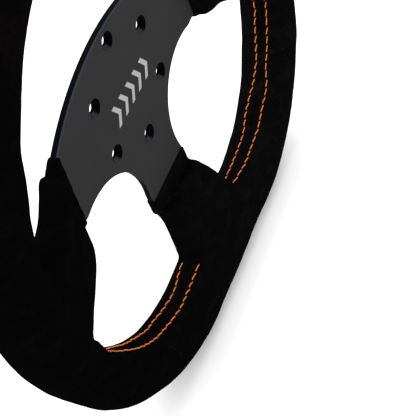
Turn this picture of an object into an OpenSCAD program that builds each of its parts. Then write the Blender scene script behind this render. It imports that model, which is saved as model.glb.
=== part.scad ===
// Suede-covered competition steering wheel with a flat bottom and three spokes.
// The wheel is drawn lying on its hub face, with the driver's side up, and is
// stood upright at the end: +X is the driver's right, +Z the top of the wheel,
// +Y away from the driver, and the origin is the centre of the hub face.

/* [Rim] */
// Radius of the rim's centreline over its round part
rim_radius = 149.5; // [148:0.5:151]
// Distance from the hub's centre down to the centreline of the flat bottom
flat_drop = 129; // [128:0.5:131]
// Outer radius of the covered grip
grip_r = 17; // [16.6:0.1:17.4]
// Distance that the rim's centreline stands in front of the hub face
dish = 19.4; // [18.5:0.1:20.5]
// Outer radius of the metal tube inside the rim
tube_r = 6.35; // [6:0.05:6.5]
// Wall thickness of the metal tube
tube_wall = 1.6; // [1.2:0.1:2]

/* [Centre plate] */
// Thickness of the aluminium plate
plate_t = 4; // [3.5:0.1:4.5]
// Radius of the plate's curved top edge
top_edge_r = 138; // [136:1:140]
// Height of the top edge above the hub's centre
top_edge_z = 43.5; // [43:0.5:45]
// Radius of the two rounded corners between the spokes
corner_r = 39.2; // [39:0.1:40]
// Height of the chamfer on the front edges
chamfer = 0.7; // [0.4:0.1:1]
// Half the width of the bottom spoke where it is narrowest
neck_half = 20.4; // [19.4:0.2:21]

/* [Hub holes] */
// Diameter of the circle that the hub screws stand on
hub_pcd = 70; // [69:0.5:71]
// Number of hub screws
hub_count = 6; // [6]
// Diameter of the clearance hole for one hub screw
hub_hole_d = 5.5; // [5.3:0.1:5.7]
// Diameter of the countersink for the screw's head
hub_sink_d = 10.4; // [10:0.1:10.8]

/* [Spokes] */
// Half the angle of rim that belongs to a side spoke
side_half_angle = 15; // [14.5:0.5:16]
// Half the length of flat rim that belongs to the bottom spoke
bottom_half = 31; // [31:0.5:35]
// Distance from the hub's centre to the front edge of a spoke's suede
sleeve_start = 71.5; // [71:0.5:72.5]
// Width of the thin suede band before a spoke's padding begins
band_w = 9.5; // [9:0.5:10]
// Thickness of the suede
suede_t = 1.2; // [1:0.1:1.3]
// Rise of a bent arm for each millimetre along its spoke
arm_rise = 0.333; // [0.32:0.005:0.34]
// Width of the lug that joins an arm to the rim tube
lug_w = 24; // [22:1:24]
// Thickness of that lug
lug_t = 3; // [2.5:0.1:3]
// Diameter of a lug rivet's shank
rivet_d = 4; // [3.2:0.1:4.8]

/* [Thread] */
// Radius of the sewing thread
thread_r = 0.45; // [0.4:0.05:0.5]
// Angle from the rim's front to the front row of stitches, towards the inside
front_row = 70; // [66:1:76]
// Angle from the rim's front to the rear row of stitches, towards the inside
rear_row = 98; // [92:1:106]
// Length of rim between a spoke's suede and the first stitch
row_margin = 1; // [0.5:0.5:3]

/* [Hidden] */
$fn = 96;

eps = 0.01;
foam_r = grip_r - suede_t;

// Each bend into the flat bottom leaves the round part along a 3-4-5 triangle,
// so its centre stands bend_in from the hub's centre, at [0.8, -0.6] of that.
bend_in = (rim_radius - flat_drop) / 0.4;
bend_x = 0.8 * bend_in;
bend_y = -0.6 * bend_in;
bend_a = atan2(bend_y, bend_x);
bend_radius = rim_radius - bend_in;

// Centre height of the plate's top edge, and of its two rounded corners.
top_edge_cy = top_edge_z - top_edge_r;
corner_x = neck_half + corner_r;
corner_y = -59;

// Where the arms bend towards the driver, the height of a side arm's top edge
// there, and half the width of each arm at its end.
bend_at = 82;
arm_top = 16.4;
side_end_half = 13;
bottom_end_half = 15;
arm_tilt = atan(arm_rise);

// Distance from the hub's centre to the rim's centreline along each spoke.
side_reach = rim_radius;
bottom_reach = flat_drop;

// Lug, arm's end and rivets, as distances back from the rim's centreline.
lug_back = 43;
plate_back = 31;
rivet_back = 37;
rivet_gap = 14;
rivet_head_r = 3.3;
rivet_head_t = 1.2;
rivet_play = 0.05;

// Where the padding begins, its height there, and how far it reaches behind.
pad_start = sleeve_start + band_w;
pad_front = 9;
pad_behind = 2.2;

// Half widths of a spoke's covering where its padding begins and at the rim.
side_near = 22.5;
side_far = 34;
bottom_near = 21.5;
bottom_far = 30;

suede_colour = [0.05, 0.05, 0.055];
foam_colour = [0.25, 0.25, 0.26];
thread_colour = [0.9, 0.45, 0.12];
plate_colour = [0.2, 0.2, 0.21];
metal_colour = [0.7, 0.71, 0.73];

// ---- placing -----------------------------------------------------------

// Stands the finished piece upright, with the driver's side towards -Y.
module upright() { rotate([90, 0, 0]) children(); }

// A side spoke is drawn along +X, and its top edge faces +Y.
module right_side() { children(); }
module left_side() { mirror([1, 0, 0]) children(); }
module bottom_side() { rotate([0, 0, -90]) children(); }

// ---- runs of rim -------------------------------------------------------
// The children are the rim's cross-section: x points out of the wheel and
// y towards the driver, from the centreline.

// A slice of the wheel between two angles, wide enough to cut any ring.
module sector(from, to) {
    far = 2 * rim_radius;
    steps = ceil((to - from) / 60);
    angles = [for (i = [0 : steps]) from + (to - from) * i / steps];
    translate([0, 0, -2 * grip_r]) linear_extrude(4 * grip_r)
        polygon(concat([[0, 0]], [for (a = angles) far * [cos(a), sin(a)]]));
}

module round_run(from, to) {
    translate([0, 0, dish]) intersection() {
        rotate_extrude() translate([rim_radius, 0]) children();
        sector(from, to);
    }
}

module bend_run(from, to) {
    translate([bend_x, bend_y, dish]) intersection() {
        rotate_extrude() translate([bend_radius, 0]) children();
        sector(from, to);
    }
}

module flat_run(from_x, to_x) {
    translate([to_x, -flat_drop, dish]) rotate([0, 0, -90]) rotate([90, 0, 0])
        linear_extrude(to_x - from_x) children();
}

// margin is the length of rim left bare at each end of a run.
function margin_angle(margin) = margin / rim_radius * 180 / PI;

module top_run(margin = 0) {
    start = side_half_angle + margin_angle(margin);
    round_run(start, 180 - start) children();
}

// From the right spoke down to the bottom spoke; the left one mirrors it.
module lower_run(margin = 0) {
    round_run(bend_a, -side_half_angle - margin_angle(margin)) children();
    bend_run(-90, bend_a) children();
    if (bend_x > bottom_half + margin)
        flat_run(bottom_half + margin, bend_x) children();
}

// The length of rim that a spoke runs into.
module side_junction() {
    round_run(-side_half_angle, side_half_angle) children();
}
module bottom_junction() {
    rotate([0, 0, 90]) flat_run(-bottom_half, bottom_half) children();
}

module ring_section(outer, inner) {
    difference() {
        circle(outer);
        circle(inner);
    }
}

module thread_section(angle) {
    reach = grip_r + thread_r;
    translate([-reach * sin(angle), reach * cos(angle)]) circle(thread_r, $fn = 16);
}

// ---- centre plate ------------------------------------------------------

// A symmetric outline from its right half, listed from the top down.
function with_mirror(half) = concat(
    half, [for (i = [len(half) - 1 : -1 : 0]) [-half[i].x, half[i].y]]);

// The flat middle of the plate before its edges are cut round.
module plate_middle() {
    linear_extrude(plate_t) polygon(with_mirror([
        [bend_at, top_edge_z + 2], [bend_at, corner_y + corner_r],
        [corner_x + 6, corner_y + corner_r - 1],
        [neck_half + 0.5, corner_y], [neck_half + 0.5, -bend_at]
    ]));
}

// The space above the side arms, where the plate's top is cut round.
module above_arms() {
    translate([-bend_at - 5, arm_top, -1]) cube([2 * bend_at + 10, top_edge_z, plate_t + 2]);
}

module round_top() {
    difference() {
        above_arms();
        translate([0, top_edge_cy, -2]) cylinder(r = top_edge_r, h = plate_t + 4, $fn = 360);
    }
}

// Height of a bent arm's rear face, at a distance from the hub's centre.
function arm_height(u) = max(0, u - bend_at) * arm_rise;

// One arm along +X from the bend to its end, narrowing from low and high.
module arm(reach, low, high, end_half) {
    end = reach - plate_back;
    root = bend_at - 1;
    thick = plate_t / cos(arm_tilt);
    intersection() {
        translate([0, 2 * high, 0]) rotate([90, 0, 0]) linear_extrude(4 * high) polygon([
            [root, 0], [bend_at, 0], [end, arm_height(end)],
            [end, arm_height(end) + thick],
            [bend_at - (thick - plate_t) / arm_rise, plate_t], [root, plate_t]
        ]);
        translate([0, 0, -1]) linear_extrude(dish + grip_r)
            polygon([[root, low], [end, -end_half], [end, end_half], [root, high]]);
    }
}

module side_arm() { arm(side_reach, corner_y + corner_r, arm_top, side_end_half); }
module bottom_arm() { arm(bottom_reach, -neck_half, neck_half, bottom_end_half); }

module hub_hole() {
    sink_depth = (hub_sink_d - hub_hole_d) / 2;
    translate([0, 0, -1]) cylinder(d = hub_hole_d, h = plate_t + 2);
    translate([0, 0, plate_t - sink_depth])
        cylinder(d1 = hub_hole_d, d2 = hub_sink_d + 2 * eps, h = sink_depth + eps);
}

module rivet_pair() {
    for (side = [-1, 1]) translate([0, side * rivet_gap / 2, 0]) children();
}

// Stands its children on an arm's rear face, at the pair of rivets.
module rivet_places(reach) {
    at = reach - rivet_back;
    translate([at, 0, arm_height(at)]) rotate([0, -arm_tilt, 0]) rivet_pair() children();
}

module rivet_hole() {
    translate([0, 0, -2]) cylinder(d = rivet_d + 2 * rivet_play, h = plate_t + lug_t + 4);
}

// Cuts the sharp front edge where the plate meets an opening.
module corner_chamfer() {
    translate([0, 0, plate_t - chamfer])
        cylinder(r1 = corner_r, r2 = corner_r + chamfer + eps, h = chamfer + eps, $fn = 180);
}

module top_chamfer() {
    intersection() {
        above_arms();
        translate([0, top_edge_cy, plate_t - chamfer]) difference() {
            cylinder(r = top_edge_r + 2, h = chamfer + 1, $fn = 360);
            translate([0, 0, -eps])
                cylinder(r1 = top_edge_r + eps, r2 = top_edge_r - chamfer - eps,
                         h = chamfer + 2 * eps, $fn = 360);
        }
    }
}

module centre_plate() {
    color(plate_colour) upright() difference() {
        union() {
            plate_middle();
            right_side() side_arm();
            left_side() side_arm();
            bottom_side() bottom_arm();
        }
        round_top();
        top_chamfer();
        for (i = [0 : hub_count - 1]) rotate([0, 0, 90 + i * 360 / hub_count])
            translate([hub_pcd / 2, 0, 0]) hub_hole();
        for (side = [-1, 1]) translate([side * corner_x, corner_y, 0]) {
            translate([0, 0, -1]) cylinder(r = corner_r, h = plate_t + 2, $fn = 180);
            corner_chamfer();
        }
        right_side() rivet_places(side_reach) rivet_hole();
        left_side() rivet_places(side_reach) rivet_hole();
        bottom_side() rivet_places(bottom_reach) rivet_hole();
    }
}

// ---- metal inside the rim and spokes ------------------------------------

module rim_tube() {
    color(metal_colour) upright() {
        round_run(bend_a, 180 - bend_a) ring_section(tube_r, tube_r - tube_wall);
        for (side = [0, 1]) mirror([side, 0, 0])
            bend_run(-90, bend_a) ring_section(tube_r, tube_r - tube_wall);
        flat_run(-bend_x, bend_x) ring_section(tube_r, tube_r - tube_wall);
    }
}

// A bent strip: flat on the front of the arm, then straight to the rim tube.
module lug_blank(reach) {
    start = reach - lug_back;
    knee = reach - plate_back;
    lift = plate_t / cos(arm_tilt);
    thick = lug_t / cos(arm_tilt);
    translate([0, lug_w / 2, 0]) rotate([90, 0, 0]) linear_extrude(lug_w)
        polygon([
            [start, arm_height(start) + lift], [knee, arm_height(knee) + lift],
            [reach - 4, dish - lug_t / 2], [reach - 4, dish + lug_t / 2],
            [knee, arm_height(knee) + lift + thick],
            [start, arm_height(start) + lift + thick]
        ]);
}

module side_lug() {
    difference() {
        lug_blank(side_reach);
        rivet_places(side_reach) rivet_hole();
        round_run(-side_half_angle, side_half_angle) circle(tube_r);
    }
}

module bottom_lug() {
    difference() {
        lug_blank(bottom_reach);
        rivet_places(bottom_reach) rivet_hole();
        bottom_junction() circle(tube_r);
    }
}

module spoke_lug_left() { color(metal_colour) upright() left_side() side_lug(); }
module spoke_lug_right() { color(metal_colour) upright() right_side() side_lug(); }
module spoke_lug_bottom() { color(metal_colour) upright() bottom_side() bottom_lug(); }

module rivet() {
    cylinder(d = rivet_d, h = plate_t + lug_t);
    translate([0, 0, -rivet_head_t]) cylinder(r = rivet_head_r, h = rivet_head_t);
    translate([0, 0, plate_t + lug_t]) cylinder(r = rivet_head_r, h = rivet_head_t);
}

module rivets_left() {
    color(metal_colour) upright() left_side() rivet_places(side_reach) rivet();
}
module rivets_right() {
    color(metal_colour) upright() right_side() rivet_places(side_reach) rivet();
}
module rivets_bottom() {
    color(metal_colour) upright() bottom_side() rivet_places(bottom_reach) rivet();
}

// ---- foam ----------------------------------------------------------------

module rim_foam_top() {
    color(foam_colour) upright() top_run() ring_section(foam_r, tube_r);
}
module rim_foam_lower_left() {
    color(foam_colour) upright() left_side() lower_run() ring_section(foam_r, tube_r);
}
module rim_foam_lower_right() {
    color(foam_colour) upright() lower_run() ring_section(foam_r, tube_r);
}

// Outline of a spoke's covering seen from the driver's seat, along +X.
// near and far are its half widths at the padding's start and at the rim.
module boot_plan(reach, near, far, skin) {
    half = [
        [pad_start + skin, near - skin], [reach - 31, near + 2.5 - skin],
        [reach - grip_r, far - skin], [reach, far - skin]
    ];
    polygon(concat(half, [for (i = [len(half) - 1 : -1 : 0]) [half[i].x, -half[i].y]]));
}

// The same covering seen from the side: a slab that rises with the arm inside
// it, from a step at the band to the front and the middle of the rim.
module boot_profile(reach, skin) {
    start = pad_start + skin;
    step = 14;
    slab_front = pad_front + 10;
    knee = reach - 27;
    shoulder = 50;
    rear_end = reach - 16;
    polygon([
        [start, pad_front - skin], [start + 4, step - skin], [start + step, slab_front - skin],
        [knee, slab_front + (knee - start - step) * arm_rise - skin],
        [reach - grip_r * cos(shoulder), dish + grip_r * sin(shoulder) - skin],
        [reach, dish], [reach - 8, dish - foam_r * cos(shoulder / 2)],
        [rear_end, skin - pad_behind + arm_height(rear_end)],
        [bend_at, skin - pad_behind], [start, skin - pad_behind]
    ]);
}

module boot(reach, near, far, skin) {
    intersection() {
        translate([0, 0, -2 * pad_behind]) linear_extrude(dish + 2 * grip_r)
            boot_plan(reach, near, far, skin);
        translate([0, far, 0]) rotate([90, 0, 0]) linear_extrude(2 * far)
            boot_profile(reach, skin);
    }
}

// The thin suede band that wraps the bare plate ahead of the padding.
module band(low, high) {
    translate([sleeve_start, low - suede_t, -suede_t])
        cube([band_w + suede_t, high - low + 2 * suede_t, plate_t + 2 * suede_t]);
}

// The room that the arm, its lug and rivets take inside the foam.
module metal_room(reach) {
    lug_blank(reach);
    rivet_places(reach) translate([0, 0, -rivet_head_t])
        cylinder(r = rivet_head_r, h = plate_t + lug_t + 2 * rivet_head_t);
}

// The straight bore that the rim's own layers leave through the bottom spoke.
module bottom_bore(r) {
    translate([bottom_reach, 0, dish]) rotate([90, 0, 0])
        cylinder(r = r, h = 4 * bottom_half, center = true);
}

module side_foam() {
    difference() {
        union() {
            boot(side_reach, side_near, side_far, suede_t);
            side_junction() circle(foam_r);
        }
        plate_middle();
        side_arm();
        metal_room(side_reach);
        round_run(-side_half_angle - 5, side_half_angle + 5) circle(tube_r);
    }
}

module bottom_foam() {
    difference() {
        union() {
            boot(bottom_reach, bottom_near, bottom_far, suede_t);
            bottom_junction() circle(foam_r);
        }
        rotate([0, 0, 90]) plate_middle();
        bottom_arm();
        metal_room(bottom_reach);
        bottom_bore(tube_r);
    }
}

module spoke_foam_left() { color(foam_colour) upright() left_side() side_foam(); }
module spoke_foam_right() { color(foam_colour) upright() right_side() side_foam(); }
module spoke_foam_bottom() { color(foam_colour) upright() bottom_side() bottom_foam(); }

// ---- suede ---------------------------------------------------------------

module rim_suede_top() {
    color(suede_colour) upright() top_run() ring_section(grip_r, foam_r);
}
module rim_suede_lower_left() {
    color(suede_colour) upright() left_side() lower_run() ring_section(grip_r, foam_r);
}
module rim_suede_lower_right() {
    color(suede_colour) upright() lower_run() ring_section(grip_r, foam_r);
}

module side_suede() {
    difference() {
        union() {
            boot(side_reach, side_near, side_far, 0);
            side_junction() circle(grip_r);
            intersection() {
                band(corner_y + corner_r - 0.5, top_edge_z);
                translate([0, top_edge_cy, -plate_t])
                    cylinder(r = top_edge_r + suede_t, h = 3 * plate_t, $fn = 360);
            }
        }
        boot(side_reach, side_near, side_far, suede_t);
        plate_middle();
        round_run(-side_half_angle - 5, side_half_angle + 5) circle(foam_r);
    }
}

module bottom_suede() {
    difference() {
        union() {
            boot(bottom_reach, bottom_near, bottom_far, 0);
            bottom_junction() circle(grip_r);
            band(-neck_half - 0.5, neck_half + 0.5);
        }
        boot(bottom_reach, bottom_near, bottom_far, suede_t);
        rotate([0, 0, 90]) plate_middle();
        bottom_bore(foam_r);
    }
}

module spoke_suede_left() { color(suede_colour) upright() left_side() side_suede(); }
module spoke_suede_right() { color(suede_colour) upright() right_side() side_suede(); }
module spoke_suede_bottom() { color(suede_colour) upright() bottom_side() bottom_suede(); }

// ---- thread --------------------------------------------------------------

module top_thread(angle) {
    color(thread_colour) upright() top_run(row_margin) thread_section(angle);
}
module lower_thread(angle) {
    color(thread_colour) upright() lower_run(row_margin) thread_section(angle);
}

module thread_top_front() { top_thread(front_row); }
module thread_top_rear() { top_thread(rear_row); }
module thread_lower_left_front() { mirror([1, 0, 0]) lower_thread(front_row); }
module thread_lower_left_rear() { mirror([1, 0, 0]) lower_thread(rear_row); }
module thread_lower_right_front() { lower_thread(front_row); }
module thread_lower_right_rear() { lower_thread(rear_row); }

centre_plate();
rim_tube();
spoke_lug_left();
spoke_lug_right();
spoke_lug_bottom();
rivets_left();
rivets_right();
rivets_bottom();
rim_foam_top();
rim_foam_lower_left();
rim_foam_lower_right();
spoke_foam_left();
spoke_foam_right();
spoke_foam_bottom();
rim_suede_top();
rim_suede_lower_left();
rim_suede_lower_right();
spoke_suede_left();
spoke_suede_right();
spoke_suede_bottom();
thread_top_front();
thread_top_rear();
thread_lower_left_front();
thread_lower_left_rear();
thread_lower_right_front();
thread_lower_right_rear();
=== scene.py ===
"""Suede-covered competition steering wheel with a flat bottom and three spokes."""
import math
import random

import bmesh
import bpy
import numpy as np
from bpy.props import FloatProperty, FloatVectorProperty
from mathutils import Euler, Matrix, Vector
from mathutils.bvhtree import BVHTree


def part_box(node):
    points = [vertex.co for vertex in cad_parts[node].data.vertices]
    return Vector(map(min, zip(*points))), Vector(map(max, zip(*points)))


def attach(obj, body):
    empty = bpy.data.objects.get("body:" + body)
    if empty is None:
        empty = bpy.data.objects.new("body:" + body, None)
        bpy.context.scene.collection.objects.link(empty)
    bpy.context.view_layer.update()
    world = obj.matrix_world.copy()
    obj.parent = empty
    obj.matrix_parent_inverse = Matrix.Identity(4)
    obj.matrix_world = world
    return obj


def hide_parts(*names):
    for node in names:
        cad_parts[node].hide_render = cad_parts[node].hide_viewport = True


bl_info = {
    "name": "Suede Steering Wheel",
    "version": (1, 0, 0),
    "blender": (4, 5, 0),
    "location": "View3D > Sidebar > Wheel",
    "description": "Covers, stitches and finishes a flat-bottomed competition steering wheel",
    "category": "Add Mesh",
}

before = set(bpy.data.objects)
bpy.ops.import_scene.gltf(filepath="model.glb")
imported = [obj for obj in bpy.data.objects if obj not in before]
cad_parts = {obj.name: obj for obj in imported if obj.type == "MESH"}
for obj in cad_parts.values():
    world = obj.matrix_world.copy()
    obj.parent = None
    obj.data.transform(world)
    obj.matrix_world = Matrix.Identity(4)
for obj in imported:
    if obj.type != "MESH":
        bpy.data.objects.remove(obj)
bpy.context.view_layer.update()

MM = 0.001
SPOKES = ("left", "right", "bottom")
SOFT_NODES = [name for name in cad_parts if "foam" in name or "suede" in name]

# ---- sizes taken from the frame, in millimetres ---------------------------------


def node_box(name):
    """The lowest and highest corner of a part of the frame, in millimetres."""
    low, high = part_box(name)
    return np.array(low) / MM, np.array(high) / MM


tube_low, tube_high = node_box("rim_tube")
grip_low, grip_high = node_box("rim_suede_top")
_, plate_high = node_box("centre_plate")
band_low, _ = node_box("spoke_suede_right")

TUBE_RADIUS = (tube_high[1] - tube_low[1]) / 2
RIM_DISH = -(tube_high[1] + tube_low[1]) / 2
RIM_RADIUS = tube_high[0] - TUBE_RADIUS
FLAT_DROP = -tube_low[2] - TUBE_RADIUS
GRIP_RADIUS = (grip_high[1] - grip_low[1]) / 2
BAND_START = band_low[0]
BAND_LENGTH = 9.5
PAD_START = BAND_START + BAND_LENGTH
PLATE_TOP = plate_high[2]
# The plate's sheet. Its box is deeper than this, because its arms bend.
PLATE_THICK = 4.0
# Radius of the circle of bolt holes, the angle from each to the next, and how far from a
# bolt's axis the painted shade and glint of its countersink reach, which is past the
# countersink's rim.
BOLT_CIRCLE = 35.0
BOLT_STEP = math.radians(60)
SUNK_REACH = 6.4
FLOOR_LEVEL = -FLAT_DROP - GRIP_RADIUS

# The centre of each bend into the flat bottom stands off the wheel's centre along the slope
# of a 3-4-5 triangle, four across to three down.
BEND_ACROSS = 4 / 5
BEND_DOWN = 3 / 5
BEND_IN = (RIM_RADIUS - FLAT_DROP) / (1 - BEND_DOWN)
BEND_X = BEND_ACROSS * BEND_IN
BEND_Z = -BEND_DOWN * BEND_IN
BEND_RADIUS = RIM_RADIUS - BEND_IN
BEND_ANGLE = math.atan2(BEND_Z, BEND_X)
ROUND_LENGTH = RIM_RADIUS * (math.pi / 2 - BEND_ANGLE)
BEND_LENGTH = BEND_RADIUS * (math.pi / 2 + BEND_ANGLE)
HALF_LENGTH = ROUND_LENGTH + BEND_LENGTH + BEND_X


# ---- the rim's path -------------------------------------------------------------


def rim_point(s):
    """Centreline point (x, z) and outward direction at arc length s from the top."""
    side = np.where(s < 0, -1.0, 1.0)
    a = np.abs(s)
    on_round = np.minimum(a, ROUND_LENGTH) / RIM_RADIUS
    on_bend = np.clip(a - ROUND_LENGTH, 0, BEND_LENGTH) / BEND_RADIUS
    on_flat = np.clip(a - ROUND_LENGTH - BEND_LENGTH, 0, None)
    turn = math.pi / 2 - on_round - on_bend
    out_x, out_z = np.cos(turn), np.sin(turn)
    bent = a > ROUND_LENGTH
    x = np.where(bent, BEND_X + BEND_RADIUS * out_x - on_flat, RIM_RADIUS * out_x)
    z = np.where(bent, BEND_Z + BEND_RADIUS * out_z, RIM_RADIUS * out_z)
    return side * x, z, side * out_x, out_z


def rim_offset(x, z):
    """Distance out from the centreline, and arc length from the top, of points (x, z)."""
    side = np.where(x < 0, -1.0, 1.0)
    a = np.abs(x)
    turn = np.arctan2(z, a)
    bend_turn = np.arctan2(z - BEND_Z, a - BEND_X)
    flat = (a < BEND_X) & (z < BEND_Z)
    bend = (a >= BEND_X) & (bend_turn < BEND_ANGLE)
    out = np.hypot(a, z) - RIM_RADIUS
    out = np.where(bend, np.hypot(a - BEND_X, z - BEND_Z) - BEND_RADIUS, out)
    out = np.where(flat, -z - FLAT_DROP, out)
    s = RIM_RADIUS * (math.pi / 2 - turn)
    s = np.where(bend, ROUND_LENGTH + BEND_RADIUS * (BEND_ANGLE - bend_turn), s)
    s = np.where(flat, HALF_LENGTH - a, s)
    return out, side * s


def grip_turn(out, y):
    """Angle round the grip, in degrees, from its front towards the inside of the rim."""
    return np.degrees(np.arctan2(-out, -(y + RIM_DISH)))


def smooth_curve(at, points):
    """A smooth curve through a few (position, value) points, level beyond its ends."""
    xs = np.array([p[0] for p in points], float)
    ys = np.array([p[1] for p in points], float)
    slopes = np.gradient(ys, xs)
    at = np.clip(at, xs[0], xs[-1])
    i = np.clip(np.searchsorted(xs, at) - 1, 0, len(xs) - 2)
    gap = xs[i + 1] - xs[i]
    t = (at - xs[i]) / gap
    rise = 3 * t**2 - 2 * t**3
    return (
        ys[i] * (1 - rise) + ys[i + 1] * rise
        + (t**3 - 2 * t**2 + t) * slopes[i] * gap + (t**3 - t**2) * slopes[i + 1] * gap
    )


def soft_union(a, b, k):
    """The union of two distances, with a fillet about k wide."""
    h = np.clip(0.5 + 0.5 * (b - a) / k, 0, 1)
    return b * (1 - h) + a * h - k * h * (1 - h)


def soft_cut(a, b, k):
    """The overlap of two distances, with its edge rounded over about k."""
    return -soft_union(-a, -b, k)


def ripples(points, length, seed, waves=26):
    """A smooth random swell over points, about -1 to 1, with this typical wavelength."""
    rng = np.random.default_rng(seed)
    total = np.zeros(len(points))
    for _ in range(waves):
        way = rng.normal(size=3)
        way *= rng.uniform(0.6, 1.6) * 2 * math.pi / (length * np.linalg.norm(way))
        total += np.sin(points @ way + rng.uniform(0, 2 * math.pi))
    return total / math.sqrt(waves / 2) / 1.6


# ---- the shape of the suede cover -----------------------------------------------


# The padded part of each spoke's sleeve, as (distance along the spoke, value) points: its
# front and back faces by height above the plate's back face, and its two edges by distance
# from the spoke's axis. "rivets" is where the rivets' heads lift its back, and by how much.
# On the bottom spoke the upper edge is the right one and the lower edge the left one.
SIDE_PAD = {
    "reach": RIM_RADIUS,
    "front": [(80, 9.8), (84, 13.8), (89, 17), (94, 19.2), (107, 23.6),
              (119, 27.2), (130, 30.6), (142, 33)],
    "back": [(80, -2.6), (84, -2.0), (94, 2.2), (103, 5.8), (115, 9.2), (132, 13)],
    "upper": [(80, 22.6), (84, 23.4), (94, 21.4), (103, 19.4), (118, 18.4), (135, 21)],
    "lower": [(80, 22.8), (86, 24.9), (94, 27.2), (105, 28.8), (118, 31.2), (124, 33.2),
              (130, 35.2), (136, 38)],
    "corner": 4.2,
    "rivets": (110.5, 3.2),
}
RIGHT_PAD = dict(SIDE_PAD, lower=[(80, 25), (85, 23.4), (90, 22.6), (96, 25), (105, 28.8),
                                  (118, 31), (135, 35)])
BOTTOM_PAD = {
    "reach": FLAT_DROP,
    "front": [(80, 10.6), (83, 13.4), (87, 16.2), (94, 20), (104, 23.8), (111, 27.6), (118, 31)],
    "back": [(80, -1.0), (84, -0.8), (88, 1), (97, 3.6), (104, 5.7), (112, 7.5)],
    "upper": [(80, 21), (84, 21.7), (90, 23.4), (97, 25), (104, 26.7), (110, 28), (118, 30)],
    "lower": [(80, 20.7), (84, 21), (90, 21.7), (97, 23.5), (104, 26.2), (110, 28), (118, 30)],
    "corner": 4.0,
    "rivets": (92.0, 4.6),
}
# Each sleeve was pulled on by hand: how far out it starts beyond the frame's sleeve, and
# how much of that it gains for each millimetre across its spoke.
START_SHIFT = {"left": (-0.2, -0.104), "right": (0.5, 0.0), "bottom": (-1.5, 0.0)}
# How much of each sleeve's thin band was trimmed away, and how far its lower edge stands off.
BAND_TRIM = {"left": 0.0, "right": 7.0, "bottom": 0.0}
BAND_SLACK = {"left": 0.0, "right": 1.7, "bottom": -0.4}
PADS = {"left": SIDE_PAD, "right": RIGHT_PAD, "bottom": BOTTOM_PAD}
# The grip is slimmer on its inner side near the side spokes: the depth of that hollow by
# the angle below or above a side spoke's axis, and the share of it that is left above.
INNER_HOLLOW = [(19, 0), (22, 1.6), (25, 4.2), (28, 4.3), (32, 3.7), (37, 2.9), (41, 2.6),
                (45, 2.6), (50, 3.2), (56, 3), (60, 1.9), (64, 0.9), (70, 0)]
HOLLOW_ABOVE = 0.6
# Swells left by wrapping by hand: extra radius by arc length from the top, on the rim's
# outer side and on its front.
OUTER_SWELL = [(-400, 0), (-352, 0.3), (-325, 0.6), (-312, 0.3), (-302, -0.9), (-285, -0.8),
               (-268, -0.2), (-245, 0.6), (-215, 0)]
FRONT_SWELL = [(-220, 0), (-197, -0.7), (-186, -0.2), (-172, 1.0), (-161, 1.9), (-152, 1.5),
               (-141, 0.2), (-128, 0.45), (-95, 0.4), (-75, 0), (290, 0), (306, 0.4),
               (318, 1.0), (328, 0.4), (345, 0)]
# Middle angle round the grip and width of the hollow and of each swell, in degrees.
INNER_LOBE = (82, 42)
OUTER_LOBE = (-90, 60)
FRONT_LOBE = (0, 60)
# How far the wrapped grip stands proud of the frame's.
GRIP_EASE = 0.15

# The bands' inner faces: below a side spoke's axis, to each side of the bottom spoke's, and
# the radius of the arc that the side spokes' upper edges follow, as far out as its reach.
ARM_LOWER_EDGE = 20.3
NECK_HALF = 20.3
TOP_ARC_RADIUS = 138.0
TOP_ARC_REACH = 120
# Thickness of the suede, and the rounding of a band's edges.
SUEDE = 1.2
BAND_CORNER = 1.1
# How far a band runs in under its padding, and the padding in under the rim's.
BAND_TUCK = 1.5
PAD_TUCK = 4
# How far along its spoke a sleeve's shift has died away, and how gradually.
SHIFT_END = 122
SHIFT_EASE = 40
# Half-length and half-width of the swell over the rivets.
RIVET_SWELL = (7, 13)
# Rounding of the padding's inner end, and how much the padding's sides count in it.
PAD_ROUNDING = 3.5
PAD_SIDES = 0.95
# The fillets from band to padding, and from the spokes' covers to the rim's.
BAND_FILLET = 1.6
RIM_FILLET = 3.4
# The seam's half-width, and the lips beside it: their height as a share of its depth, how
# far off they stand and their half-width.
SEAM_WIDTH = 0.75
LIP_HEIGHT = 0.35
LIP_OFFSET = 1.8
LIP_WIDTH = 1.1
# The grooves that the stitches draw in: their depth as a share of the seam's, how much it
# comes and goes along a row, and their half-width. Then the puckers between stitches.
GROOVE_DEPTH = 0.5
GROOVE_BEAT = 0.2
GROOVE_WIDTH = 1.0
PUCKER_HEIGHT = 0.11
PUCKER_WIDTH = 4.5
# The seam fades out over this distance ahead of a spoke's cover. Off the plain grip it is
# gone at the limit, and starts to fade this much sooner.
SEAM_FADE = 3
SEAM_LIMIT = 10
SEAM_LIMIT_FADE = 5
# Swells left by wrapping by hand: share of the set height, wavelength and random seed.
UNEVENNESS = [(1.0, 42, 3), (0.35, 13, 5), (0.12, 5, 8)]
# A mesh with fewer vertices than this is not a cover.
FEWEST_VERTICES = 10000
# Points short of a spoke's band by more than this count as far from its cover.
SPOKE_MARGIN = 12
FAR = 1e3


def along_spoke(points, spoke):
    """Points as distance along a spoke, across it, and towards the driver."""
    x, y, z = points.T
    if spoke == "bottom":
        return -z, x, -y
    return (x if spoke == "right" else -x), z, -y


def hand_set(u, v, spoke):
    """Distance along a spoke, shifted so that its sleeve starts where it was pulled to."""
    start, gain = START_SHIFT[spoke]
    return u - (start + gain * v) * np.clip((SHIFT_END - u) / SHIFT_EASE, 0, 1)


def rounded_slab(v, h, centre_v, centre_h, half_v, half_h, corner):
    """Distance to a rounded rectangle in a spoke's cross-section."""
    qv = np.abs(v - centre_v) - half_v + corner
    qh = np.abs(h - centre_h) - half_h + corner
    outside = np.hypot(np.maximum(qv, 0), np.maximum(qh, 0))
    return outside + np.minimum(np.maximum(qv, qh), 0) - corner


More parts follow.
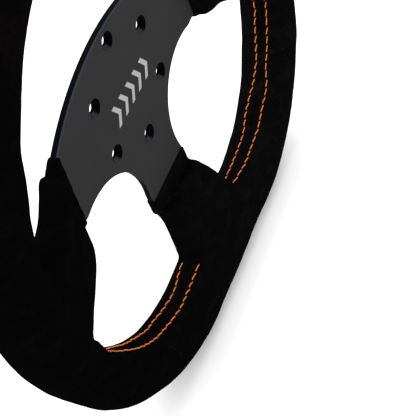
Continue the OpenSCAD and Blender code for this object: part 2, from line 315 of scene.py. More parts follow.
def pad_distance(u, v, h, pad):
    """Distance to the foam-filled part of a spoke's cover, swollen over the rivets."""
    front = smooth_curve(u, pad["front"])
    place, swell = pad["rivets"]
    half_length, half_width = RIVET_SWELL
    over_rivets = np.exp(-((u - place) / half_length) ** 2 - (v / half_width) ** 4)
    back = smooth_curve(u, pad["back"]) - swell * over_rivets
    upper = smooth_curve(u, pad["upper"])
    lower = smooth_curve(u, pad["lower"])
    slab = rounded_slab(
        v, h, (upper - lower) / 2, (front + back) / 2,
        (upper + lower) / 2, (front - back) / 2, pad["corner"],
    )
    slab = soft_cut(slab * PAD_SIDES, PAD_START - u, PAD_ROUNDING)
    return np.maximum(slab, u - pad["reach"] + PAD_TUCK)


def band_edges(u, spoke):
    """How far a band reaches above and below its spoke's axis at distances u along it."""
    if spoke == "bottom":
        return NECK_HALF + SUEDE, NECK_HALF + SUEDE
    rise = np.sqrt((TOP_ARC_RADIUS + SUEDE) ** 2 - np.clip(u, 0, TOP_ARC_REACH) ** 2)
    return rise + PLATE_TOP - TOP_ARC_RADIUS, ARM_LOWER_EDGE + SUEDE


def band_distance(u, v, h, spoke):
    """Distance to the thin band of suede round the bare plate, ahead of the padding."""
    upper, lower = band_edges(u, spoke)
    lower = lower + BAND_SLACK[spoke]
    middle = PLATE_THICK / 2
    slab = rounded_slab(
        v, h, (upper - lower) / 2, middle, (upper + lower) / 2, middle + SUEDE, BAND_CORNER
    )
    along = hand_set(u, v, spoke)
    past_start = BAND_START + BAND_TRIM[spoke] - along
    past_end = along - PAD_START - BAND_TUCK
    return np.maximum(slab, np.maximum(past_start, past_end))


def pads_distance(points):
    """Distance to the three spokes' covers together."""
    total = np.full(len(points), FAR)
    for spoke in SPOKES:
        u, v, h = along_spoke(points, spoke)
        near = u > BAND_START - SPOKE_MARGIN
        if not near.any():
            continue
        u, v, h = u[near], v[near], h[near]
        pad = pad_distance(hand_set(u, v, spoke), v, h, PADS[spoke])
        band = band_distance(u, v, h, spoke)
        total[near] = np.minimum(total[near], soft_union(pad, band, BAND_FILLET))
    return total


def bell(off, width):
    """A smooth bump, 1 where off is zero."""
    return np.exp(-((off / width) ** 2))


def lobe(turn, shape):
    """A smooth bump round the grip, 1 at its middle angle, from (middle, width) in degrees."""
    middle, width = shape
    return bell((turn - middle + 180) % 360 - 180, width)


def grip_radius(s, turn, x, z):
    """The grip's radius at arc length s and angle turn from its front towards the inside."""
    below = np.degrees(np.arctan2(-z, np.abs(x)))
    share = np.where(below > 0, 1.0, HOLLOW_ABOVE)
    hollow = share * smooth_curve(np.abs(below), INNER_HOLLOW)
    return (
        GRIP_RADIUS + GRIP_EASE - hollow * lobe(turn, INNER_LOBE)
        + smooth_curve(s, OUTER_SWELL) * lobe(turn, OUTER_LOBE)
        + smooth_curve(s, FRONT_SWELL) * lobe(turn, FRONT_LOBE)
    )


def cover_distance(points):
    """Distance from points, in millimetres, to the surface of the whole cover."""
    x, y, z = points.T
    out, s = rim_offset(x, z)
    rim = np.hypot(out, y + RIM_DISH) - grip_radius(s, grip_turn(out, y), x, z)
    return soft_union(rim, pads_distance(points), RIM_FILLET)


def outward(points):
    """Distance and unit outward direction of the cover's surface near points."""
    step = 0.05
    least_slope = 0.2
    here = cover_distance(points)
    slope = np.empty_like(points)
    for axis in range(3):
        moved = points.copy()
        moved[:, axis] += step
        slope[:, axis] = (cover_distance(moved) - here) / step
    size = np.maximum(np.linalg.norm(slope, axis=1), least_slope)
    return here / size, slope / size[:, None]


# ---- rows of stitches -----------------------------------------------------------

# Each row as (direction from the wheel's centre, angle from the rim's front towards its
# inside), in degrees, the directions from the right and upwards. The rows were sewn by
# hand, so they wander.
FRONT_ROW = [(-180, 76), (-158, 70), (-153, 77), (-149, 76), (-145, 72.5), (-134, 71),
             (-127, 74), (-117, 73), (-112, 75), (-105, 77.5), (-90, 80), (-75, 80), (-70, 75.5),
             (-64, 75.8), (-57, 72), (-50, 70.3), (-46, 67.8), (-40, 72.5), (-34, 70.8),
             (-25, 69.7), (10, 71), (60, 71), (110, 69), (180, 70)]
REAR_ROW = [(-180, 95), (-158, 76), (-153, 86), (-148, 98), (-143, 100.5), (-138, 103),
            (-133, 107), (-128, 107), (-124, 111), (-119, 106.5), (-114, 103.8), (-110, 107),
            (-105, 115), (-90, 108), (-73, 103), (-66, 104), (-60, 105), (-54, 111.5),
            (-49, 108), (-44, 101.5), (-38, 97.8), (-33, 100.5), (-29, 102), (-22, 97),
            (10, 98), (90, 99), (180, 97)]

# Where the runs of stitches end: degrees above and below the side spokes' axes, and
# millimetres from the middle of the flat bottom.
TOP_RUN_END = 15
SIDE_RUN_END = 22
FLAT_RUN_END = 30
# How much the top run stops short of each side spoke, and how much nearer its spoke the
# lower right run starts.
TOP_SHORT = 2
RIGHT_EARLY = 12

# How a hand-sewn stitch varies: how much of one's stray the next one keeps, how far each
# strays across its row and along it, its slant as a share of the set one, its length as a
# share of the pitch, and how far it bends into an S.
STRAY_KEPT = 0.75
STRAY_ACROSS = 0.13
STRAY_ALONG = 0.2
SLANT_SHARE = (0.4, 1.8)
LENGTH_SHARE = (0.8, 0.9)
STITCH_BEND = 0.3
STITCH_STEPS = 15
# A stitch's middle line stands this far off the suede, and dives this far at its ends, the
# steeper the higher the power. The suede is looked for from this far off the rim's centre.
STITCH_LIFT = 0.4
STITCH_DIVE = 1.5
DIVE_POWER = 7
STITCH_REACH = 30
# The thread's two plies: points round it, how far they stand out, and their twist.
THREAD_POINTS = 10
PLY_HEIGHT = 0.16
PLY_TWIST = 0.75


def row_angle(s, row):
    """A row's angle round the grip, in degrees, at arc length s from the rim's top."""
    x, z, _, _ = rim_point(np.asarray(s, float))
    return smooth_curve(np.degrees(np.arctan2(z, x)), row)


# ---- shader maths ---------------------------------------------------------------


class Shade:
    """A value in a material's node tree, with arithmetic written as Python."""

    def __init__(self, tree, socket=None):
        self.tree = tree
        self.socket = socket

    def node(self, kind, settings=None, inputs=None, out=0):
        """Adds a node, sets it up, then fills or links its sockets, and returns an output."""
        made = self.tree.nodes.new(kind)
        for name, value in (settings or {}).items():
            setattr(made, name, value)
        for name, value in (inputs or {}).items():
            if isinstance(value, Shade):
                self.tree.links.new(value.socket, made.inputs[name])
            else:
                made.inputs[name].default_value = value
        return Shade(self.tree, made.outputs[out])

    def maths(self, operation, *values):
        return self.node("ShaderNodeMath", {"operation": operation}, dict(enumerate(values)))

    def __add__(self, other):
        return self.maths("ADD", self, other)

    __radd__ = __add__

    def __sub__(self, other):
        return self.maths("SUBTRACT", self, other)

    def __rsub__(self, other):
        return self.maths("SUBTRACT", other, self)

    def __mul__(self, other):
        return self.maths("MULTIPLY", self, other)

    __rmul__ = __mul__

    def __truediv__(self, other):
        return self.maths("DIVIDE", self, other)

    def __abs__(self):
        return self.maths("ABSOLUTE", self)

    def fraction(self):
        return self.maths("FRACT", self)

    def root(self):
        return self.maths("SQRT", self)

    def ease(self, low, high):
        """0 below low, 1 above high, and a smooth rise between."""
        return self.node(
            "ShaderNodeMapRange", {"interpolation_type": "SMOOTHSTEP"},
            {"Value": self, "From Min": low, "From Max": high},
        )

    def between(self, first, second):
        """The colour that stands this far from the first colour to the second."""
        colours = [c if isinstance(c, Shade) else (*c, 1) for c in (first, second)]
        return self.node(
            "ShaderNodeMix", {"data_type": "RGBA"}, {0: self, 6: colours[0], 7: colours[1]}, 2
        )


# The etched mark's chevrons, in millimetres: their pitch, how far they lean for each
# millimetre up or down, and how far to the left of the wheel's middle a gap lies.
CHEVRON_PITCH = 8.88
CHEVRON_LEAN = 0.62
CHEVRON_START = 107.5
# The mark's window: its middle up and across, its half-height and its half-length.
MARK_LEVEL = -2.2
MARK_MIDDLE = 4.4
MARK_HALF_HEIGHT = 6.6
MARK_HALF_LENGTH = 22.2
# A whole turn in steps from bolt hole to bolt hole, which keeps the count above zero.
TURN_IN_STEPS = 6


class Finish:
    """A material under construction: its surface shader and its ways to vary over it."""

    def __init__(self, name, **constants):
        self.material = bpy.data.materials.new(name)
        self.material.use_nodes = True
        tree = self.material.node_tree
        self.shader = tree.nodes["Principled BSDF"]
        for socket, value in constants.items():
            self.shader.inputs[socket.replace("_", " ")].default_value = value
        self.tools = Shade(tree)
        self.place = self.tools.node("ShaderNodeTexCoord", out="Object")
        self.facing = self.tools.node("ShaderNodeTexCoord", out="Normal")

    def noise(self, size, detail=2.0, rough=0.5, stretch=None, warp=0.0):
        """Cloudy noise, 0 to 1, whose patches are about this many metres across."""
        where = self.place
        if stretch:
            where = self.tools.node(
                "ShaderNodeVectorMath", {"operation": "MULTIPLY"}, {0: where, 1: stretch}
            )
        return self.tools.node("ShaderNodeTexNoise", None, {
            "Vector": where, "Scale": 1 / size, "Detail": detail, "Roughness": rough,
            "Distortion": warp,
        })

    def axes(self, vector):
        """The three parts of a vector."""
        split = self.tools.node("ShaderNodeSeparateXYZ", None, {"Vector": vector})
        return [Shade(split.tree, o) for o in split.socket.node.outputs]

    def feed(self, **values):
        """Links varying values to the shader's sockets."""
        for socket, value in values.items():
            self.tools.tree.links.new(value.socket, self.shader.inputs[socket.replace("_", " ")])

    def grain(self, height, depth, strength=1.0):
        """Raises fine grain of this depth, in metres, without moving the mesh."""
        self.feed(Normal=self.tools.node(
            "ShaderNodeBump", None, {"Height": height, "Distance": depth, "Strength": strength}
        ))


def suede_finish(settings):
    """Black split suede: short nap, brushed lighter and darker, worn where it is folded, and
    painted shade on the wheel's left.
    """
    finish = Finish(
        "black_suede", Sheen_Weight=settings.sheen, Sheen_Roughness=0.45,
        Sheen_Tint=(0.5, 0.5, 0.52, 1), Specular_IOR_Level=0.0,
    )
    base = settings.colour
    light = [c * 2.3 for c in base]
    warm = [base[0] * 2.6, base[1] * 1.8, base[2] * 2.2]
    fibre = finish.noise(0.0005, 3, 0.7)
    nap = finish.noise(0.0016, 3, 0.6)
    brushed = finish.noise(0.014, 4, 0.6, (1.0, 1.0, 1.8), 0.6)
    patch = finish.noise(0.045, 2, 0.5)
    worn = finish.tools.node("ShaderNodeAttribute", {"attribute_name": "wear"}, out="Fac")
    lightness = (brushed.ease(0.45, 0.75) * 0.55 + nap.ease(0.35, 0.8) * 0.3
                 + fibre.ease(0.5, 0.8) * 0.2)
    colour = lightness.between(base, light)
    colour = (patch.ease(0.56, 0.72) * nap.ease(0.2, 0.6) * 0.7).between(colour, warm)
    flecks = worn * finish.noise(0.0011, 2, 0.7).ease(0.46, 0.66)
    colour = flecks.between(colour, settings.worn_colour)
    # Painted shade: the suede's colour is darkened, by up to a half, towards the wheel's left.
    x, _, _ = finish.axes(finish.place)
    painted_shade_left = 1 - x.ease(-0.13, 0.03)
    colour = (painted_shade_left * 0.5).between(colour, (0, 0, 0))
    finish.feed(Base_Color=colour, Roughness=brushed * 0.12 + 0.85)
    finish.grain(nap * 0.6 + fibre * 0.5 + brushed * 1.2, 0.00035, 0.7)
    return finish.material


def in_countersink(x, z):
    """A mask round the bolt holes, the first of which is half a step up from the right."""
    from_centre = (x * x + z * z).root() / MM
    steps = z.maths("ARCTAN2", z, x) / BOLT_STEP + TURN_IN_STEPS
    across = (steps.fraction() - 0.5) * BOLT_STEP * from_centre
    beyond = from_centre - BOLT_CIRCLE
    off_bolt = (across * across + beyond * beyond).root()
    return 1 - off_bolt.ease(SUNK_REACH - 0.1, SUNK_REACH + 0.1)


def in_mark(x, z, ny):
    """A mask over the row of chevrons etched on the plate's front."""
    rise = abs(z / MM - MARK_LEVEL)
    along = x / MM + rise * CHEVRON_LEAN
    stripe = ((along + CHEVRON_START) / CHEVRON_PITCH).fraction() - 0.5
    bars = 1 - abs(stripe).ease(0.16, 0.2)
    in_height = 1 - rise.ease(MARK_HALF_HEIGHT, MARK_HALF_HEIGHT + 0.3)
    in_length = 1 - abs(along - MARK_MIDDLE).ease(MARK_HALF_LENGTH, MARK_HALF_LENGTH + 0.4)
    front = 1 - ny.ease(-0.9, -0.6)
    return bars * in_height * in_length * front


def plate_finish(settings):
    """Fine-blasted, black-anodised aluminium with a pale etched mark of plain chevrons, a painted
    highlight on the chamfers and painted shade on the cut edge and in the countersinks.
    """
    finish = Finish("black_anodised_plate", Specular_IOR_Level=0.012)
    x, _, z = finish.axes(finish.place)
    nx, ny, nz = finish.axes(finish.facing)
    flat = abs(ny).ease(0.93, 0.99)
    wall = 1 - abs(ny).ease(0.15, 0.4)
    sunk = in_countersink(x, z)
    mark = in_mark(x, z, ny)
    # Painted highlight: the chamfers are coloured lighter, most where they face up.
    painted_top_light = nz.ease(-0.4, 0.4) * 0.7 + 0.3
    chamfer_highlight = (1 - flat - wall) * (1 - sunk) * painted_top_light
    blast = finish.noise(0.0004, 3, 0.7)
    cloud = finish.noise(0.03, 3, 0.55)
    colour = (cloud.ease(0.3, 0.7) * 0.5 + blast.ease(0.4, 0.7) * 0.3).between(
        settings.colour, [c * 1.25 for c in settings.colour])
    colour = chamfer_highlight.between(colour, settings.chamfer_highlight_colour)
    # Painted shade: the plate's cut edge is coloured almost black.
    colour = wall.between(colour, settings.edge_shade_colour)
    # Painted shade and painted highlight: the countersinks are coloured almost black, with a
    # painted glint where they face up and to the right.
    glint = (nx * 0.43 + nz * 0.9).ease(0.48, 0.7) * (1 - wall) * 0.8
    cone_shade_and_glint = glint.between(settings.sunk_shade_colour, settings.chamfer_highlight_colour)
    colour = (sunk * (1 - flat)).between(colour, cone_shade_and_glint)
    speckle = blast.ease(0.25, 0.6) * 0.35 + 0.65
    colour = (mark * speckle).between(colour, settings.mark_colour)
    finish.feed(Base_Color=colour, Roughness=blast * 0.12 + cloud * 0.06 + 0.36 + mark * 0.2)
    finish.grain(blast - mark * 0.8, 0.00003, 0.5)
    return finish.material


def metal_finish(name, colour, brushed_along):
    """Bare drawn or stamped aluminium with fine lines along its length and dull patches."""
    finish = Finish(name, Metallic=1.0)
    lines = finish.noise(0.0006, 3, 0.6, brushed_along)
    dull = finish.noise(0.012, 3, 0.5)
    shade = (dull.ease(0.35, 0.7) * 0.6 + lines * 0.4).between(colour, [c * 0.6 for c in colour])
    finish.feed(Base_Color=shade, Roughness=dull * 0.2 + lines * 0.15 + 0.2)
    finish.grain(lines, 0.00004, 0.6)
    return finish.material


def thread_finish(settings):
    """Bonded orange sewing thread: two twisted plies with a slight fuzz."""
    finish = Finish("orange_thread", Specular_IOR_Level=0.3)
    twist = finish.noise(0.00045, 2, 0.6)
    along = finish.noise(0.006, 2, 0.5)
    dark = [c * 0.55 for c in settings.colour]
    colour = (twist.ease(0.35, 0.65) * 0.7 + along * 0.3).between(dark, settings.colour)
    finish.feed(Base_Color=colour, Roughness=twist * 0.2 + 0.5)
    finish.grain(twist, 0.0001, 0.6)
    return finish.material


# ---- mesh helpers ---------------------------------------------------------------


def link_mesh(name, vertices, faces, material=None):
    """Adds a mesh object made of these vertices and faces."""
    mesh = bpy.data.meshes.new(name)
    mesh.from_pydata([tuple(v) for v in vertices], [], faces)
    mesh.validate()
    made = bpy.data.objects.new(name, mesh)
    bpy.context.scene.collection.objects.link(made)
    if material:
        mesh.materials.append(material)
    return made


def tube_of(rings, closed):
    """Vertices and faces of rings of points joined in order, capped if not closed."""
    count, around = rings.shape[:2]
    vertices = rings.reshape(-1, 3)
    faces = []
    for i in range(count if closed else count - 1):
        a, b = i * around, (i + 1) % count * around
        for j in range(around):
            k = (j + 1) % around
            faces.append((a + j, a + k, b + k, b + j))
    if not closed:
        faces.append(tuple(range(around))[::-1])
        faces.append(tuple(range((count - 1) * around, count * around)))
    return vertices, faces


def joined(parts):
    """The vertices and faces of several meshes as one."""
    vertices, faces = [], []
    for part_vertices, part_faces in parts:
        start = len(vertices)
        vertices.extend(part_vertices)
        faces.extend(tuple(start + i for i in face) for face in part_faces)
    return vertices, faces


# Steps along each rough shape and round the rough rim.
RIM_STEPS = 360
RIM_POINTS = 40
PAD_STEPS = 24
BAND_STEPS = 8
# How far the rough band runs into the padding.
ROUGH_TUCK = 5


def rough_rim():
    """A plain tube along the whole rim."""
    s = np.linspace(-HALF_LENGTH, HALF_LENGTH, RIM_STEPS, endpoint=False)
    turn = np.linspace(0, 2 * math.pi, RIM_POINTS, endpoint=False)
    x, z, out_x, out_z = rim_point(s)
    out = GRIP_RADIUS * np.cos(turn)
    rings = np.empty((len(s), len(turn), 3))
    rings[:, :, 0] = x[:, None] + out_x[:, None] * out
    rings[:, :, 1] = -RIM_DISH + GRIP_RADIUS * np.sin(turn)
    rings[:, :, 2] = z[:, None] + out_z[:, None] * out
    return tube_of(rings, True)


def from_spoke(u, v, h, spoke):
    """Row-frame points of distances along, across and towards the driver."""
    if spoke == "bottom":
        return np.stack([v, -h, -u], -1)
    return np.stack([u if spoke == "right" else -u, -h, v], -1)


def block(spoke, u, edges, faces, shift=(0.0, 0.0)):
    """A plain block at distances u along a spoke, from its two edges and its two faces."""
    upper, lower, front, back = (np.broadcast_to(side, u.shape) for side in (*edges, *faces))
    start, gain = shift
    corners = [(upper, front), (-lower, front), (-lower, back), (upper, back)]
    rings = np.stack([from_spoke(u + start + gain * v, v, h, spoke) for v, h in corners], 1)
    return tube_of(rings, False)


def rough_pad(spoke):
    """A plain block for the padded part of a spoke's cover."""
    pad = PADS[spoke]
    u = np.linspace(PAD_START, pad["reach"] - PAD_TUCK, PAD_STEPS)
    front, back, upper, lower = (
        smooth_curve(u, pad[side]) for side in ("front", "back", "upper", "lower"))
    return block(spoke, u, (upper, lower), (front, back))


def rough_band(spoke):
    """A plain block for the thin band ahead of the padding."""
    u = np.linspace(BAND_START + BAND_TRIM[spoke], PAD_START + ROUGH_TUCK, BAND_STEPS)
    faces = (PLATE_THICK + SUEDE, -SUEDE)
    return block(spoke, u, band_edges(u, spoke), faces, START_SHIFT[spoke])


def remeshed(parts, voxel):
    """One mesh of even squares over all the parts, in the parts' own units."""
    rough = link_mesh("rough_cover", *joined(parts))
    bm = bmesh.new()
    bm.from_mesh(rough.data)
    bmesh.ops.recalc_face_normals(bm, faces=bm.faces)
    bm.to_mesh(rough.data)
    bm.free()
    remesh = rough.modifiers.new("even", "REMESH")
    remesh.mode = "VOXEL"
    remesh.voxel_size = voxel
    depsgraph = bpy.context.evaluated_depsgraph_get()
    mesh = bpy.data.meshes.new_from_object(rough.evaluated_get(depsgraph))
    bpy.data.objects.remove(rough)
    return mesh


def neighbour_mean(points, edges, counts):
    """The mean of each vertex's neighbours."""
    total = np.zeros_like(points)
    np.add.at(total, edges[:, 0], points[edges[:, 1]])
    np.add.at(total, edges[:, 1], points[edges[:, 0]])
    return total / counts[:, None]


# Fitting the mesh to the cover: rounds in all, the first of which also even out its
# squares, the longest step of a round, and the share of the way that a vertex slides.
FIT_ROUNDS = 8
SLIDE_ROUNDS = 5
LONGEST_STEP = 1.5
SLIDE_SHARE = 0.6


def fit_to_cover(mesh):
    """A rough mesh's vertices moved on to the cover's surface, and the way out at each."""
    points = np.empty(len(mesh.vertices) * 3)
    mesh.vertices.foreach_get("co", points)
    points = points.reshape(-1, 3)
    edges = np.empty(len(mesh.edges) * 2, int)
    mesh.edges.foreach_get("vertices", edges)
    edges = edges.reshape(-1, 2)
    counts = np.bincount(edges.ravel(), minlength=len(points)).astype(float)
    for turn in range(FIT_ROUNDS):
        away, normal = outward(points)
        points -= normal * np.clip(away, -LONGEST_STEP, LONGEST_STEP)[:, None]
        if turn < SLIDE_ROUNDS:
            slide = neighbour_mean(points, edges, counts) - points
            slide -= normal * (slide * normal).sum(1)[:, None]
            points += slide * SLIDE_SHARE
    return points, normal


# ---- the operators --------------------------------------------------------------


class CoverSettings(bpy.types.PropertyGroup):
    """Sizes and colours of the suede cover."""

    voxel: FloatProperty(
        name="Mesh size", description="Length of the cover's mesh squares",
        default=1.0 * MM, min=0.6 * MM, unit="LENGTH", subtype="DISTANCE")
    unevenness: FloatProperty(
        name="Unevenness", description="Height of the swells left by wrapping by hand",
        default=0.2 * MM, unit="LENGTH", subtype="DISTANCE")
    seam_depth: FloatProperty(
        name="Seam depth", description="Depth of the seam between the rows of stitches",
        default=0.6 * MM, unit="LENGTH", subtype="DISTANCE")
    colour: FloatVectorProperty(
        name="Suede", description="Colour of the suede", subtype="COLOR",
        default=(0.0021, 0.0020, 0.0021))
    worn_colour: FloatVectorProperty(
        name="Worn nap", description="Colour of the nap where it is rubbed", subtype="COLOR",
        default=(0.022, 0.020, 0.021))
    sheen: FloatProperty(
        name="Sheen", description="Brightness of the nap at a grazing angle",
        default=0.002, min=0, max=1, subtype="FACTOR")


class StitchSettings(bpy.types.PropertyGroup):
    """Sizes and colour of the sewing thread."""

    pitch: FloatProperty(
        name="Pitch", description="Distance from one stitch to the next",
        default=6.2 * MM, unit="LENGTH", subtype="DISTANCE")
    thickness: FloatProperty(
        name="Thickness", description="Diameter of the thread",
        default=0.62 * MM, unit="LENGTH", subtype="DISTANCE")
    slant: FloatProperty(
        name="Slant", description="Angle of each stitch to its row",
        default=math.radians(6), subtype="ANGLE")
    colour: FloatVectorProperty(
        name="Thread", description="Colour of the thread", subtype="COLOR",
        default=(0.86, 0.205, 0.012))


class PlateSettings(bpy.types.PropertyGroup):
    """Colours of the metal parts."""

    colour: FloatVectorProperty(
        name="Plate", description="Colour of the anodised faces", subtype="COLOR",
        default=(0.0215, 0.0205, 0.0215))
    # Painted highlight on the plate's chamfered edges, also used for the painted glint in the
    # countersinks.
    chamfer_highlight_colour: FloatVectorProperty(
        name="Chamfer", description="Colour of the chamfered edges", subtype="COLOR",
        default=(0.034, 0.037, 0.046))
    # Painted shade on the plate's cut edge.
    edge_shade_colour: FloatVectorProperty(
        name="Edge", description="Colour of the plate's cut edge", subtype="COLOR",
        default=(0.0008, 0.0011, 0.0028))
    # Painted shade in the countersinks.
    sunk_shade_colour: FloatVectorProperty(
        name="Countersinks", description="Colour of the cones round the bolt holes",
        subtype="COLOR", default=(0.0006, 0.0006, 0.0007))
    mark_colour: FloatVectorProperty(
        name="Mark", description="Colour of the etched chevrons", subtype="COLOR",
        default=(0.36, 0.355, 0.355))
    metal_colour: FloatVectorProperty(
        name="Bare metal", description="Colour of the tube, lugs and rivets", subtype="COLOR",
        default=(0.75, 0.76, 0.78))


class StageSettings(bpy.types.PropertyGroup):
    """The camera, lights and floor."""

    focal_length: FloatProperty(
        name="Focal length", description="Focal length of the lens in millimetres",
        default=100.35, min=20)
    floor_size: FloatProperty(
        name="Floor", description="Length of the floor's sides", default=8.0, unit="LENGTH",
        subtype="DISTANCE")
    key_power: FloatProperty(
        name="Key light", description="Power of the large light behind the wheel",
        default=45.0, unit="POWER")
    fill: FloatProperty(
        name="Fill", description="Brightness of the light from all round", default=1.25, min=0)
    floor_glow: FloatProperty(
        name="Floor glow", description="Brightness the floor adds of its own", default=0.1, min=0)


class WHEEL_OT_cover(bpy.types.Operator):
    """Wraps the rim and the spokes in one padded suede cover"""

    bl_idname = "wheel.cover"
    bl_label = "Suede cover"

    def execute(self, context):
        settings = context.scene.wheel_cover
        parts = [rough_rim()]
        for spoke in SPOKES:
            parts += [rough_pad(spoke), rough_band(spoke)]
        mesh = remeshed(parts, settings.voxel / MM)
        if len(mesh.vertices) < FEWEST_VERTICES:
            raise RuntimeError("the cover's mesh came out empty")
        points, normal = fit_to_cover(mesh)
        points += normal * self.relief(context, points)[:, None]
        mesh.vertices.foreach_set("co", (points * MM).ravel())
        wear = mesh.attributes.new("wear", "FLOAT", "POINT")
        wear.data.foreach_set("value", self.wear(points))
        mesh.materials.clear()
        mesh.materials.append(suede_finish(settings))
        mesh.shade_smooth()
        mesh.update()
        cover = bpy.data.objects.new("suede_cover", mesh)
        context.scene.collection.objects.link(cover)
        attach(cover, "root")
        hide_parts(*SOFT_NODES)
        return {"FINISHED"}

    def relief(self, context, points):
        """Height of the seam, the drawn-in stitches and the hand-wrapped unevenness."""
        settings = context.scene.wheel_cover
        pitch = context.scene.wheel_stitch.pitch / MM
        depth = settings.seam_depth / MM
        swell = settings.unevenness / MM
        x, y, z = points.T
        out, s = rim_offset(x, z)
        turn = grip_turn(out, y)
        front = row_angle(s, FRONT_ROW)
        rear = row_angle(s, REAR_ROW)
        per_degree = GRIP_RADIUS * math.pi / 180
        off_grip = np.abs(np.hypot(out, y + RIM_DISH) - GRIP_RADIUS)
        on_rim = np.clip(pads_distance(points) / SEAM_FADE, 0, 1)
        on_rim *= np.clip((SEAM_LIMIT - off_grip) / SEAM_LIMIT_FADE, 0, 1)
        to_seam = (turn - (front + rear) / 2) * per_degree
        to_row = np.minimum(np.abs(turn - front), np.abs(turn - rear)) * per_degree
        beat = np.cos(2 * math.pi * s / pitch)
        seam = -depth * bell(to_seam, SEAM_WIDTH)
        lips = LIP_HEIGHT * depth * bell(np.abs(to_seam) - LIP_OFFSET, LIP_WIDTH)
        grooves = -depth * (GROOVE_DEPTH + GROOVE_BEAT * beat) * bell(to_row, GROOVE_WIDTH)
        puckers = PUCKER_HEIGHT * beat * bell(to_row, PUCKER_WIDTH)
        uneven = sum(
            share * swell * ripples(points, length, seed) for share, length, seed in UNEVENNESS)
        return (seam + lips + grooves + puckers) * on_rim + uneven

    def wear(self, points):
        """How far the nap is rubbed, 0 to 1: at the bands' edges and, in patches, where the
        padding begins."""
        worn = np.zeros(len(points))
        patchy = np.clip(ripples(points, 9, 11) * 1.3, 0, 1)
        for spoke in SPOKES:
            u, v, h = along_spoke(points, spoke)
            u = hand_set(u, v, spoke)
            fold = bell(u - PAD_START - 0.5, 1.2)
            edge = bell(u - BAND_START, 0.6)
            worn = np.maximum(worn, (fold * patchy * 0.4 + edge * 0.15) * (h > 0))
        return worn


class WHEEL_OT_stitches(bpy.types.Operator):
    """Sews two rows of stitches along the inside of each run of rim"""

    bl_idname = "wheel.stitches"
    bl_label = "Stitches"

    def execute(self, context):
        settings = context.scene.wheel_stitch
        cover = context.scene.objects.get("suede_cover")
        if cover is None:
            raise RuntimeError("make the suede cover first")
        surface = BVHTree.FromObject(cover, context.evaluated_depsgraph_get())
        material = thread_finish(settings)
        top_end = RIM_RADIUS * math.radians(90 - TOP_RUN_END) - TOP_SHORT
        side_end = RIM_RADIUS * math.radians(90 + SIDE_RUN_END)
        flat_end = HALF_LENGTH - FLAT_RUN_END
        runs = {
            "top": (-top_end, top_end),
            "lower_right": (side_end - RIGHT_EARLY, flat_end),
            "lower_left": (-flat_end, -side_end),
        }
        for run, (start, end) in runs.items():
            for row, angles in (("front", FRONT_ROW), ("rear", REAR_ROW)):
                name = f"{run}_{row}"
                rng = random.Random(name)
                vertices, faces = self.row(surface, start, end, angles, settings, rng)
                made = link_mesh("stitches_" + name, vertices, faces, material)
                made.data.shade_smooth()
                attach(made, "root")
                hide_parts("thread_" + name)
        return {"FINISHED"}

    def row(self, surface, start, end, angles, settings, rng):
        """Vertices and faces of one row of separate stitches."""
        pitch = settings.pitch / MM
        count = round((end - start) / pitch)
        pitch = (end - start) / count
        stitches = []
        drift = 0.0
        for i in range(count):
            drift = STRAY_KEPT * drift + rng.uniform(-STRAY_ACROSS, STRAY_ACROSS)
            middle = start + (i + 0.5) * pitch + rng.uniform(-STRAY_ALONG, STRAY_ALONG)
            slant = settings.slant * rng.uniform(*SLANT_SHARE)
            length = pitch * rng.uniform(*LENGTH_SHARE)
            path = []
            for t in np.linspace(-1, 1, STITCH_STEPS):
                along = t * length / 2 * math.cos(slant)
                bend = t + STITCH_BEND * math.sin(math.pi * t)
                across = length / 2 * math.sin(slant) * bend + drift
                path.append(self.on_surface(surface, middle + along, across, angles, t))
            phase = rng.uniform(0, 6)
            stitches.append(self.thread(path, settings.thickness / 2, phase))
        return joined(stitches)

    def on_surface(self, surface, s, across, angles, t):
        """A point of a stitch, which lies on the suede and dives in at its ends, t = -1 and 1."""
        x, z, out_x, out_z = (float(a) for a in rim_point(np.array(s)))
        turn = math.radians(float(row_angle(s, angles))) + across / GRIP_RADIUS
        way = Vector((-out_x * math.sin(turn), -math.cos(turn), -out_z * math.sin(turn)))
        centre = Vector((x, -RIM_DISH, z)) * MM
        hit, _, _, _ = surface.ray_cast(centre + way * STITCH_REACH * MM, -way)
        if hit is None:
            raise RuntimeError("a stitch misses the cover")
        return hit + way * MM * (STITCH_LIFT - STITCH_DIVE * abs(t) ** DIVE_POWER)

    def thread(self, path, radius, phase):
        """Vertices and faces of a two-ply thread along a path."""
        rings = []
        for i, point in enumerate(path):
            ahead = path[min(i + 1, len(path) - 1)] - path[max(i - 1, 0)]
            side = ahead.cross(Vector((0, 1, 0.3))).normalized()
            up = ahead.cross(side).normalized()
            ring = []
            for j in range(THREAD_POINTS):
                a = 2 * math.pi * j / THREAD_POINTS
                plies = 1 + PLY_HEIGHT * math.cos(2 * (a - phase - i * PLY_TWIST))
                ring.append(point + (side * math.cos(a) + up * math.sin(a)) * radius * plies)
            rings.append(ring)
        return tube_of(np.array(rings), False)


class WHEEL_OT_plate(bpy.types.Operator):
    """Finishes the centre plate in black anodising with a plain etched mark"""

    bl_idname = "wheel.plate"
    bl_label = "Centre plate"

    def execute(self, context):
        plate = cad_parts["centre_plate"]
        plate.data.materials.clear()
        plate.data.materials.append(plate_finish(context.scene.wheel_plate))
        return {"FINISHED"}


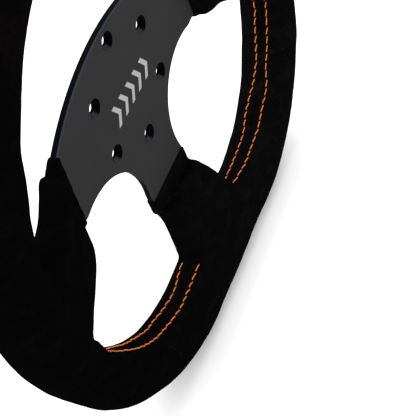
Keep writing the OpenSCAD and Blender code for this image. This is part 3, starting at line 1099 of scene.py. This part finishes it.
class WHEEL_OT_metal(bpy.types.Operator):
    """Finishes the rim tube, lugs and rivets in bare aluminium"""

    bl_idname = "wheel.metal"
    bl_label = "Tube, lugs and rivets"

    def execute(self, context):
        colour = context.scene.wheel_plate.metal_colour
        drawn = metal_finish("drawn_tube", colour, (1, 6, 1))
        stamped = metal_finish("stamped_lug", colour, (4, 1, 1))
        headed = metal_finish("headed_rivet", [c * 0.9 for c in colour], (2, 2, 2))
        for name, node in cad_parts.items():
            finish = {"rim": drawn, "spoke": stamped, "rivets": headed}.get(name.split("_")[0])
            if finish and name not in SOFT_NODES:
                node.data.materials.clear()
                node.data.materials.append(finish)
        return {"FINISHED"}


# Where the camera and the large light stand, in metres, the light's size, and the camera's
# turn about x, y and z in degrees.
CAMERA_PLACE = (-0.353742, -0.309510, 0.402819)
CAMERA_TURN = (39.8846, 15.5345, -68.5673)
LIGHT_PLACE = (0.3, 0.5, 2.0)
LIGHT_SIZE = 2.6


class WHEEL_OT_stage(bpy.types.Operator):
    """Sets the pale floor, the soft lights and the camera"""

    bl_idname = "wheel.stage"
    bl_label = "Stage"

    def execute(self, context):
        settings = context.scene.wheel_stage
        scene = context.scene
        half = settings.floor_size / 2
        level = FLOOR_LEVEL * MM
        corners = [(-half, -half), (half, -half), (half, half), (-half, half)]
        pale = Finish("pale_floor", Roughness=0.9, Specular_IOR_Level=0.2)
        pale.shader.inputs["Base Color"].default_value = (0.93, 0.93, 0.93, 1)
        pale.shader.inputs["Emission Color"].default_value = (1, 1, 1, 1)
        pale.shader.inputs["Emission Strength"].default_value = settings.floor_glow
        floor = link_mesh(
            "floor", [(x, y, level) for x, y in corners], [(0, 1, 2, 3)], pale.material)

        world = bpy.data.worlds.new("studio")
        scene.world = world
        world.use_nodes = True
        sky = world.node_tree.nodes["Background"]
        sky.inputs["Color"].default_value = (1, 1, 1, 1)
        sky.inputs["Strength"].default_value = settings.fill

        self.soft_light(scene, "overhead", LIGHT_PLACE, settings.key_power, LIGHT_SIZE)

        camera = bpy.data.cameras.new("camera")
        camera.sensor_width = 36
        camera.lens = settings.focal_length
        camera.clip_start = 0.05
        stand = bpy.data.objects.new("camera", camera)
        stand.location = CAMERA_PLACE
        stand.rotation_euler = Euler([math.radians(a) for a in CAMERA_TURN])
        scene.collection.objects.link(stand)
        scene.camera = stand
        scene.view_settings.view_transform = "Standard"
        return {"FINISHED"}

    def soft_light(self, scene, name, place, power, size):
        """A large square light aimed at the wheel."""
        light = bpy.data.lights.new(name, "AREA")
        light.energy = power
        light.size = size
        lamp = bpy.data.objects.new(name, light)
        lamp.location = place
        lamp.rotation_euler = (-Vector(place)).to_track_quat("-Z", "Y").to_euler()
        scene.collection.objects.link(lamp)


class WHEEL_PT_panel(bpy.types.Panel):
    """Lists the wheel's pieces and their settings"""

    bl_idname = "WHEEL_PT_panel"
    bl_label = "Steering wheel"
    bl_space_type = "VIEW_3D"
    bl_region_type = "UI"
    bl_category = "Wheel"

    def draw(self, context):
        for operators, name in (
            (("wheel.cover",), "wheel_cover"),
            (("wheel.stitches",), "wheel_stitch"),
            (("wheel.plate", "wheel.metal"), "wheel_plate"),
            (("wheel.stage",), "wheel_stage"),
        ):
            box = self.layout.box()
            for operator in operators:
                box.operator(operator)
            settings = getattr(context.scene, name)
            for prop in settings.bl_rna.properties:
                if not prop.is_readonly and prop.identifier != "name":
                    box.prop(settings, prop.identifier)


GROUPS = {
    "wheel_cover": CoverSettings,
    "wheel_stitch": StitchSettings,
    "wheel_plate": PlateSettings,
    "wheel_stage": StageSettings,
}
OPERATORS = (WHEEL_OT_cover, WHEEL_OT_stitches, WHEEL_OT_plate, WHEEL_OT_metal, WHEEL_OT_stage)


def register():
    for group in GROUPS.values():
        bpy.utils.register_class(group)
    for name, group in GROUPS.items():
        setattr(bpy.types.Scene, name, bpy.props.PointerProperty(type=group))
    for cls in (*OPERATORS, WHEEL_PT_panel):
        bpy.utils.register_class(cls)


def unregister():
    for cls in reversed((*OPERATORS, WHEEL_PT_panel)):
        bpy.utils.unregister_class(cls)
    for name in GROUPS:
        delattr(bpy.types.Scene, name)
    for group in reversed(list(GROUPS.values())):
        bpy.utils.unregister_class(group)


def main():
    register()
    bpy.ops.wheel.cover()
    bpy.ops.wheel.stitches()
    bpy.ops.wheel.plate()
    bpy.ops.wheel.metal()
    bpy.ops.wheel.stage()
    bpy.context.view_layer.update()


if __name__ == "__main__":
    main()
